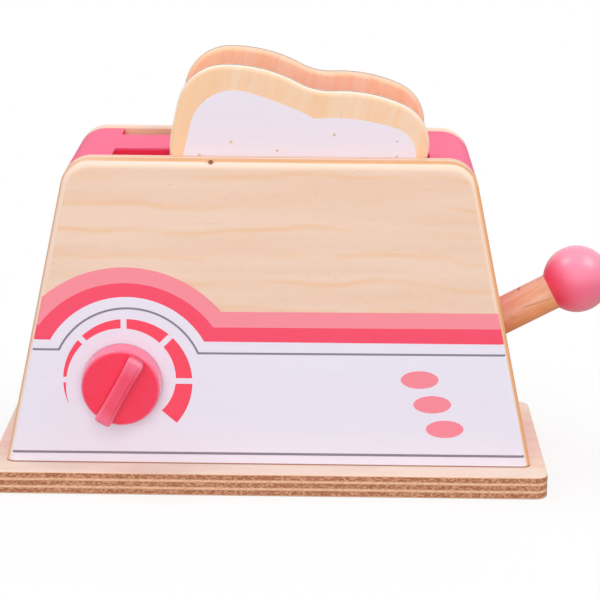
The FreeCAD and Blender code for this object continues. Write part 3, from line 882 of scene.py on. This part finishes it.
def print_front_panel(front_y):
    """The printed panel: bands that arch over the dial, lines, dial scale and ovals."""
    low_edge = straight_edge(*[height - LOW_LINE_WIDTH / 2 for height in LOW_LINE])
    high_edge = straight_edge(*[height + LOW_LINE_WIDTH / 2 for height in LOW_LINE])
    line = band(arch_edge(LINE_TOP), arch_edge(LINE_TOP, LINE_WIDTH), LINE_MARGIN)
    low_line = band(high_edge, low_edge, LINE_MARGIN)
    foot = straight_edge(PRINT_FOOT, PRINT_FOOT)
    white = round_foot(band(arch_edge(RED_TO_WHITE), foot), PRINT_MARGIN)
    pink = band(arch_edge(BAND_TOP), arch_edge(PINK_TO_RED))
    red = band(arch_edge(PINK_TO_RED), arch_edge(RED_TO_WHITE))
    prints = (
        ("print_pink_band", [pink], 1, make_ink("ink_pink", srgb(255, 147, 160))),
        ("print_red_band", [red], 1, make_ink("ink_red", srgb(255, 80, 110))),
        ("print_white_field", [white], 1, make_ink("ink_white", srgb(241, 235, 249))),
        ("print_lines", [line, low_line], 2, make_ink("ink_grey", srgb(138, 130, 145))),
        ("print_dial_scale", dial_scale(), 2, make_ink("ink_scale", srgb(255, 76, 102))),
        ("print_ovals", [oval(place) for place in OVAL_PLACES], 2,
         make_ink("ink_oval", srgb(255, 142, 158))),
    )
    for name, outlines, layer, ink in prints:
        piece = wrapped_print(name, outlines, front_y, layer)
        ink.dress(piece)
        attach(piece, "case")


# --------------------------------------------------- toast
def slice_side(half_width, radius):
    """One side of an upright slice, from its foot to the dip on top, as the right one."""
    span = 2 * (SLICE_LOBE_RADIUS + SLICE_DIP_RADIUS) * SLICE_DIP_DEPTH - SLICE_DIP_DEPTH ** 2
    lobe = (math.sqrt(span), SLICE_HEIGHT - SLICE_LOBE_RADIUS)
    x = half_width - radius
    z = lobe[1] + math.sqrt((SLICE_LOBE_RADIUS - radius) ** 2 - (x - lobe[0]) ** 2)
    crown = math.degrees(math.atan2(z - lobe[1], x - lobe[0]))
    dip = (0.0, SLICE_HEIGHT - SLICE_DIP_DEPTH + SLICE_DIP_RADIUS)
    join = math.degrees(math.atan2(dip[1] - lobe[1], -lobe[0]))
    turn = math.acos(1 - SLICE_WAIST / 2 / SLICE_NECK_RADIUS)
    neck_high = z - SLICE_NECK_DROP
    neck_low = neck_high - 2 * SLICE_NECK_RADIUS * math.sin(turn)
    body = half_width - SLICE_WAIST
    turn = math.degrees(turn)
    foot = (body - SLICE_FOOT_RADIUS, SLICE_FOOT_RADIUS)
    hollow = (body + SLICE_NECK_RADIUS, neck_low)
    swell = (half_width - SLICE_NECK_RADIUS, neck_high)
    return (
        arc_points(foot, SLICE_FOOT_RADIUS, -90, 0, 10)
        + arc_points(hollow, SLICE_NECK_RADIUS, 180, 180 - turn, 6)
        + arc_points(swell, SLICE_NECK_RADIUS, -turn, 0, 6)[1:]
        + arc_points((x, z), radius, 0, crown, 16)
        + arc_points(lobe, SLICE_LOBE_RADIUS, crown, join, 24)[1:]
        + arc_points(dip, SLICE_DIP_RADIUS, join - 180, -90, 8)[1:]
    )


def patch_side(half_width, radius, lobe, lobe_radius, waist, notch_x):
    """One side of the white patch, from its foot to the notch on top, as the right one."""
    x = half_width - radius
    z = lobe[1] + math.sqrt((lobe_radius - radius) ** 2 - (x - lobe[0]) ** 2)
    join = math.degrees(math.atan2(z - lobe[1], x - lobe[0]))
    notch = math.degrees(math.acos((notch_x - lobe[0]) / lobe_radius))
    foot = (waist - PATCH_FOOT_RADIUS, PATCH_FOOT_Z + PATCH_FOOT_RADIUS)
    return (
        arc_points(foot, PATCH_FOOT_RADIUS, -90, 0, 8)
        + [(waist, PATCH_WAIST_Z)]
        + arc_points((x, z), radius, 0, join, 16)
        + arc_points(lobe, lobe_radius, join, notch, 24)[1:]
    )


def both_sides(right, left):
    """An anticlockwise outline from its right side and its mirrored left side."""
    return right + [(-x, z) for x, z in left[-2::-1]]


def on_slice(point):
    """A point of an upright slice, in the row frame where the slices lean."""
    x, z = point
    return (SLICE_FOOT[0] + x * math.cos(SLICE_TILT) + z * math.sin(SLICE_TILT),
            SLICE_FOOT[1] - x * math.sin(SLICE_TILT) + z * math.cos(SLICE_TILT))


def crumb_outline(place, scatter):
    """An uneven small outline about a place on the upright slice."""
    radius = CRUMB_RADIUS * scatter.uniform(0.7, 1.2)
    points = arc_points((0, 0), radius, 0, 360, 9)[:-1]
    return [(place[0] + x * scatter.uniform(0.7, 1.4), place[1] + z * scatter.uniform(0.7, 1.1))
            for x, z in points]


def make_slice(node, body, seed, ply, patch_ink, crumb_ink):
    """One slice of toast with its patch and crumbs printed on both faces."""
    low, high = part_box(node)
    y_front, y_back = low.y / MM, high.y / MM
    outline = [on_slice(p) for p in both_sides(slice_side(*SLICE_RIGHT), slice_side(*SLICE_LEFT))]
    board = rounded_plate(f"{node}_board", outline, y_front, y_back, SLICE_ROUNDING, True)
    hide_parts(node)
    right = patch_side(*PATCH_RIGHT, PATCH_NOTCH_X)
    left = patch_side(*PATCH_LEFT, -PATCH_NOTCH_X)
    patch = [on_slice(point) for point in both_sides(right, left)]
    scatter = random.Random(seed)
    places = list(CRUMBS)
    for _ in range(HIDDEN_CRUMBS):
        places.append((scatter.uniform(*HIDDEN_CRUMB_X), scatter.uniform(*HIDDEN_CRUMB_Z)))
    crumbs = [[on_slice(point) for point in crumb_outline(place, scatter)] for place in places]
    ply.dress(board)
    dressed = [board]
    for y, rise, word in ((y_front, -PRINT_RISE, "front"), (y_back, PRINT_RISE, "back")):
        white = plates(f"{node}_{word}_patch", [patch], y, y + rise)
        specks = plates(f"{node}_{word}_crumbs", crumbs, y, y + CRUMB_LAYER * rise)
        patch_ink.dress(white)
        crumb_ink.dress(specks)
        dressed += [white, specks]
    for thing in dressed:
        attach(thing, body)


# ---------------------------------------------------- dial
def lathe(profile, steps):
    """A closed body turned about Y, from (radius, y) points with both ends on the axis."""
    vertices, faces = [], []
    rows = []
    for radius, y in profile:
        if radius == 0:
            rows.append([len(vertices)])
            vertices.append((0.0, y, 0.0))
            continue
        rows.append(list(range(len(vertices), len(vertices) + steps)))
        for x, z in arc_points((0, 0), radius, 0, 360, steps)[:-1]:
            vertices.append((x, y, z))
    for here, after in zip(rows, rows[1:]):
        for index in range(steps):
            turn = (index + 1) % steps
            corners = [here[index % len(here)], here[turn % len(here)],
                       after[turn % len(after)], after[index % len(after)]]
            faces.append(list(dict.fromkeys(corners)))
    return vertices, faces


def cup_profile():
    """The knob's cup with a rounded rim, its hollow back and the stem behind it."""
    face_y = -DIAL_DEPTH
    rim_x = DIAL_RADIUS - DIAL_DRAFT - DIAL_RIM
    rim = arc_points((rim_x, face_y + DIAL_RIM), DIAL_RIM, 0, -90, 8)
    inner = DIAL_RADIUS - DIAL_WALL
    ceiling = face_y + DIAL_FACE
    guard = 0.3
    # Rings close to the rim and the mouth keep the soft shading near those edges.
    return [(0, face_y), (rim_x - 0.4, face_y)] + rim[::-1] + [
        (DIAL_RADIUS - DIAL_DRAFT + 0.02, face_y + DIAL_RIM + guard),
        (DIAL_RADIUS - 0.05, -DIAL_GAP - guard),
        (DIAL_RADIUS, -DIAL_GAP),
        (inner, -DIAL_GAP),
        (inner, ceiling),
        (STEM_RADIUS, ceiling),
        (STEM_RADIUS, STEM_LENGTH),
        (0, STEM_LENGTH),
    ]


def grip_outline():
    """The waisted bar that crosses the knob, its ends round and its corners soft."""
    tip = math.sqrt((GRIP_REACH - GRIP_CORNER) ** 2 - (GRIP_HALF_END - GRIP_CORNER) ** 2)
    corner = (GRIP_HALF_END - GRIP_CORNER, tip)
    swing = math.degrees(math.atan2(corner[1], corner[0]))
    swell = GRIP_HALF_END - GRIP_HALF_WAIST
    half = []
    steps = 12
    for index in range(steps):
        z = tip * (2 * index / steps - 1)
        half.append((GRIP_HALF_WAIST + swell * (z / tip) ** 2, z))
    half += arc_points(corner, GRIP_CORNER, 0, swing, 6)
    half += arc_points((0, 0), GRIP_REACH, swing, 180 - swing, 8)[1:-1]
    half += [(-x, z) for x, z in arc_points(corner, GRIP_CORNER, 0, swing, 6)[:0:-1]]
    return half + [(-x, -z) for x, z in half]


def make_knob():
    """The moulded knob, in place of the CAD's bevelled one."""
    turn = Matrix.Rotation(math.radians(DIAL_ANGLE), 4, "Y")
    place = Matrix.Translation(Vector(DIAL_PLACE) * MM) @ turn
    cup = mesh_object("knob", *lathe(cup_profile(), 96))
    for polygon in cup.data.polygons:
        centre = polygon.center / MM
        outside = centre.y < -DIAL_GAP - 0.01
        polygon.use_smooth = outside and math.hypot(centre.x, centre.z) > DIAL_RADIUS / 2
    grip = rounded_plate(
        "knob_grip", grip_outline(), -DIAL_DEPTH - GRIP_HEIGHT, -DIAL_DEPTH + DIAL_FACE / 2,
        GRIP_ROUNDING, False)
    for thing in (cup, grip):
        thing.data.transform(place)
        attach(thing, "dial")
    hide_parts("dial_knob")
    return cup, grip


# --------------------------------------------------- stage
def shown_rays(tree, others):
    """1 for camera rays and the other kinds named, and 0 for the rays of light."""
    path = tree.nodes.new("ShaderNodeLightPath")
    total = path.outputs["Is Camera Ray"]
    for name in others:
        add = tree.nodes.new("ShaderNodeMath")
        add.operation = "MAXIMUM"
        tree.links.new(total, add.inputs[0])
        tree.links.new(path.outputs[name], add.inputs[1])
        total = add.outputs[0]
    return total


def make_world():
    """Soft even light, in front of a background that shows as plain white."""
    world = bpy.data.worlds.new("studio")
    world.use_nodes = True
    tree = world.node_tree
    background = tree.nodes["Background"]
    background.inputs["Color"].default_value = (1.0, 1.0, 1.0, 1.0)
    lit = tree.nodes.new("ShaderNodeMapRange")
    lit.inputs["To Min"].default_value = WORLD_STRENGTH
    lit.inputs["To Max"].default_value = 1.0
    seen = shown_rays(tree, ("Is Glossy Ray", "Is Transmission Ray"))
    tree.links.new(seen, lit.inputs["Value"])
    tree.links.new(lit.outputs["Result"], background.inputs["Strength"])
    bpy.context.scene.world = world


def make_floor():
    """A plain white floor that keeps a soft shadow of the toy."""
    corners = [(x * FLOOR_HALF, y * FLOOR_HALF, FLOOR_Z)
               for x, y in ((-1, -1), (1, -1), (1, 1), (-1, 1))]
    floor = mesh_object("floor", corners, [[0, 1, 2, 3]])
    finish = Finish("floor_white", 0.9)
    diffuse = finish.tree.nodes.new("ShaderNodeBsdfDiffuse")
    seen = shown_rays(finish.tree, ("Is Transmission Ray",))
    tone = finish.mix(seen, (0.55, 0.55, 0.55, 1.0), (0.95, 0.95, 0.95, 1.0))
    finish.feed(diffuse.inputs["Color"], tone)
    glow = finish.tree.nodes.new("ShaderNodeEmission")
    reach = finish.vector("DISTANCE", finish.scaled((1.0, 1.7, 1.0)), (0, 0, 0))
    far = finish.between(reach, *FLOOR_FADE)
    share = finish.math("MULTIPLY_ADD", far, 1.0 - FLOOR_GLOW, FLOOR_GLOW)
    blend = finish.tree.nodes.new("ShaderNodeMixShader")
    finish.feed(blend.inputs[0], finish.math("MULTIPLY", seen, share))
    finish.feed(blend.inputs[1], diffuse.outputs[0])
    finish.feed(blend.inputs[2], glow.outputs[0])
    output = finish.tree.nodes["Material Output"]
    finish.tree.links.new(blend.outputs[0], output.inputs["Surface"])
    finish.tree.nodes.remove(finish.shader)
    finish.dress(floor)


def make_softbox(name, direction, distance, size, power, mirrored=True):
    """A square soft light that faces the toy; mirrored ones show in glossy surfaces."""
    lamp = bpy.data.lights.new(name, "AREA")
    lamp.shape = "SQUARE"
    lamp.size = size
    lamp.energy = power
    thing = new_object(name, lamp)
    way = Vector(direction).normalized()
    thing.location = Vector(LIGHT_AIM) + way * distance
    thing.rotation_euler = way.to_track_quat("Z", "Y").to_euler()
    thing.visible_glossy = mirrored


def make_camera():
    """A long lens in front of the toy, a little above it."""
    yaw, tilt = math.radians(CAMERA_YAW), math.radians(CAMERA_TILT)
    level = math.cos(tilt)
    forward = Vector((math.sin(yaw) * level, math.cos(yaw) * level, -math.sin(tilt)))
    roll = Quaternion((0, 0, 1), math.radians(CAMERA_ROLL))
    camera = new_object("camera", bpy.data.cameras.new("camera"))
    camera.data.lens = CAMERA_LENS
    camera.data.sensor_width = 36.0
    camera.location = Vector(CAMERA_PLACE) * MM
    camera.rotation_mode = "QUATERNION"
    camera.rotation_quaternion = forward.to_track_quat("-Z", "Y") @ roll
    bpy.context.scene.camera = camera


# --------------------------------------------------- build
def dress_cad_nodes(nodes):
    """Every CAD node that shows gets its material."""
    make_base_ply().dress(nodes["base_board"])
    front_stripes, back_stripes = panel_stripes()
    make_panel_ply("front_plywood", front_stripes).dress(nodes["front_panel"])
    make_panel_ply("back_plywood", back_stripes).dress(nodes["back_panel"])
    post_ply = make_bare_ply("post_plywood", POST_FACE, POST_THICKNESS, 3)
    post_ply.dress(nodes["front_pivot_post"], nodes["rear_pivot_post"])
    rocker_ply = make_bare_ply("rocker_plywood", ROCKER_FACE, ROCKER_THICKNESS, 5)
    rocker_ply.dress(nodes["rocker"])
    make_rod_beech().dress(nodes["lever_rod"])
    make_beech("bar_beech", INWARD).dress(nodes["lift_bar"])
    make_beech("dowel_beech", UPRIGHT).dress(nodes["case_dowels"])
    make_wall_paint().dress(nodes["left_wall"], nodes["right_wall"])
    make_top_paint().dress(nodes["top_board"])
    make_ball_paint().dress(nodes["lever_ball"])
    make_steel().dress(nodes["floor_screws"], nodes["post_screws"], nodes["pivot_pin"],
                       nodes["dial_washer"], nodes["dial_screw"])


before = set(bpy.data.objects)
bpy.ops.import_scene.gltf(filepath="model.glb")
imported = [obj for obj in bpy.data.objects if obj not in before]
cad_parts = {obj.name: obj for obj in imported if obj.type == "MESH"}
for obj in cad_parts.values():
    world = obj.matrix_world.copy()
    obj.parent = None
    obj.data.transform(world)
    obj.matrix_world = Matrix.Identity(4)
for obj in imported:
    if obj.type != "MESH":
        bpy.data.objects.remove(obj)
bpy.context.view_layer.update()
bpy.context.scene.view_settings.view_transform = "Standard"
make_camera()

dress_cad_nodes(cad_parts)
print_front_panel(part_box("front_panel")[0].y / MM)
toast_patch = make_ink("ink_toast", srgb(238, 229, 241))
toast_crumb = make_ink("ink_crumb", srgb(218, 188, 162))
front_ply = make_slice_ply(
    "front_slice_ply", srgb(247, 213, 184), srgb(247, 203, 166), srgb(250, 200, 150))
# The rear slice's warmer veneer is partly its own and partly painted bounce light from the pink
# walls.
rear_ply = make_slice_ply(
    "rear_slice_ply", srgb(255, 212, 180), srgb(255, 202, 164), srgb(255, 190, 142))
make_slice("front_slice", "front_toast", 3, front_ply, toast_patch, toast_crumb)
make_slice("rear_slice", "rear_toast", 5, rear_ply, toast_patch, toast_crumb)
knob_cup, knob_grip = make_knob()
make_knob_plastic().dress(knob_cup)
make_grip_plastic().dress(knob_grip)

make_world()
make_floor()
make_softbox("left_softbox", (-0.47, 0.02, 0.88), distance=0.9, size=0.4, power=2.2)
make_softbox("right_softbox", (0.61, -0.10, 0.78), distance=0.9, size=0.4, power=2.2)
make_softbox(
    "front_softbox", (-0.05, -1.0, 0.41), distance=1.2, size=0.9, power=7.9, mirrored=False)
make_softbox(
    "back_softbox", (0.3, 1.0, 0.2), distance=1.2, size=0.8, power=4.2, mirrored=False)
